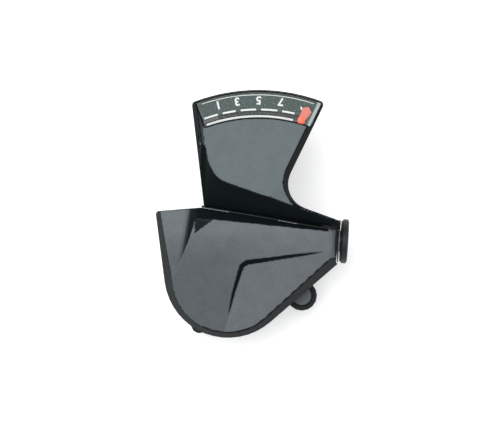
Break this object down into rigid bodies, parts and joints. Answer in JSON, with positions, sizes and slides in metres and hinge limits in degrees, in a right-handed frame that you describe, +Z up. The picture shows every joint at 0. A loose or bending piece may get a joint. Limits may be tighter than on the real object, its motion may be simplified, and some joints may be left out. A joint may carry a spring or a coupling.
{
  "type": "bicycle thumb shifter",
  "caption": "Right-hand trigger shifter for a flat bar: ratchet drum with thumb and release levers, cable adjuster and a fan-shaped gear display over the clamp.",
  "frame": {"origin": "centre of the handlebar clamp, on the handlebar's axis", "axes": "+X along the handlebar towards the stem, where the cable leaves; +Y towards the rider; +Z up"},
  "size_m": [0.0586, 0.0747, 0.0438],
  "materials": {
    "cover_plastic": "painted satin grey on glass-filled nylon",
    "black_plastic": "fine moulded texture",
    "inner_plastic": "smooth moulded acetal",
    "pad_rubber": "ribbed soft overmould",
    "grey_insert": "satin",
    "clear_plastic": "clear moulded polycarbonate",
    "pointer_orange": "bright moulded plastic",
    "print_white": "pad-printed ink",
    "steel": "stamped, zinc plated",
    "dark_steel": "black zinc",
    "brass": "turned",
    "band_aluminium": "black anodised"
  },
  "bodies": {
    "housing": {"clamp_band": "band_aluminium", "clamp_bolt": "dark_steel", "main_body": "black_plastic", "base_plate": "steel", "inner_hole_cap": "black_plastic", "top_cover": "cover_plastic", "display_housing": "cover_plastic", "scale_plate": "inner_plastic", "display_lens": "clear_plastic", "indicator_base": "inner_plastic", "pointer_pivot_pin": "steel", "main_axle": "steel", "axle_clip": "dark_steel", "axle_bush": "brass", "axle_nut": "dark_steel", "axle_washer": "steel", "drum_return_spring": "steel", "release_lever_spring": "steel", "main_lever_spring": "steel", "position_pawl_pin": "dark_steel", "position_pawl_spring": "steel", "adjuster_washer": "grey_insert", "cover_screw_1": "dark_steel", "cover_screw_2": "dark_steel", "cover_screw_3": "dark_steel", "indicator_screw_1": "dark_steel", "indicator_screw_2": "dark_steel", "display_screw_1": "dark_steel", "display_screw_2": "dark_steel"},
    "drum": {"cable_drum": "inner_plastic", "ratchet_plate": "steel"},
    "pointer_body": {"pointer": "pointer_orange"},
    "main_lever": {"main_lever_plate": "steel", "main_lever_pad": "pad_rubber", "feed_pawl_pin": "dark_steel", "feed_pawl_spring": "steel"},
    "feed_pawl_body": {"feed_pawl": "steel"},
    "release_lever": {"release_lever_plate": "steel", "release_lever_tab": "pad_rubber", "release_tab_cap": "grey_insert"},
    "position_pawl_body": {"position_pawl": "steel"},
    "adjuster_knob_body": {"adjuster_knob": "black_plastic"},
    "adjuster_barrel_body": {"adjuster_barrel": "dark_steel"}
  },
  "joints": [
    {"name": "drum_spin", "type": "hinge", "parent": "housing", "child": "drum", "pos_m": [-0.00525, -0.0372, 0], "axis": [0, 0, 1], "range_deg": [0, 96]},
    {"name": "pointer_swing", "type": "hinge", "parent": "housing", "child": "pointer_body", "pos_m": [0.00385, -0.0363, 0], "axis": [0, 0, 1], "range_deg": [0, 28.81]},
    {"name": "main_lever_swing", "type": "hinge", "parent": "housing", "child": "main_lever", "pos_m": [-0.00525, -0.0372, 0], "axis": [0, 0, 1], "range_deg": [0, 36], "stiffness_Nm_per_rad": 0.03, "springref_deg": -11.46},
    {"name": "feed_pawl_swing", "type": "hinge", "parent": "main_lever", "child": "feed_pawl_body", "pos_m": [0.00977, -0.04327, 0], "axis": [0, 0, 1], "range_deg": [0, 14], "stiffness_Nm_per_rad": 0.0004},
    {"name": "release_lever_swing", "type": "hinge", "parent": "housing", "child": "release_lever", "pos_m": [-0.00525, -0.0372, 0], "axis": [0, 0, 1], "range_deg": [-12, 12], "stiffness_Nm_per_rad": 0.03},
    {"name": "position_pawl_swing", "type": "hinge", "parent": "housing", "child": "position_pawl_body", "pos_m": [0.00516, -0.02479, 0], "axis": [0, 0, 1], "range_deg": [0, 14], "stiffness_Nm_per_rad": 0.0004},
    {"name": "adjuster_turn", "type": "hinge", "parent": "housing", "child": "adjuster_knob_body", "pos_m": [0.02992, -0.02739, -0.0008], "axis": [0.9981, -0.061, 0], "range_deg": [0, 1080]},
    {"name": "adjuster_feed", "type": "slide", "parent": "housing", "child": "adjuster_barrel_body", "axis": [0.9981, -0.061, 0], "range_m": [0, 0.00241]}
  ],
  "couplings": [
    {"joint": "pointer_swing", "follows": "drum_spin", "ratio": 0.3},
    {"joint": "adjuster_feed", "follows": "adjuster_turn", "m_per_rad": 0.00012732}
  ]
}
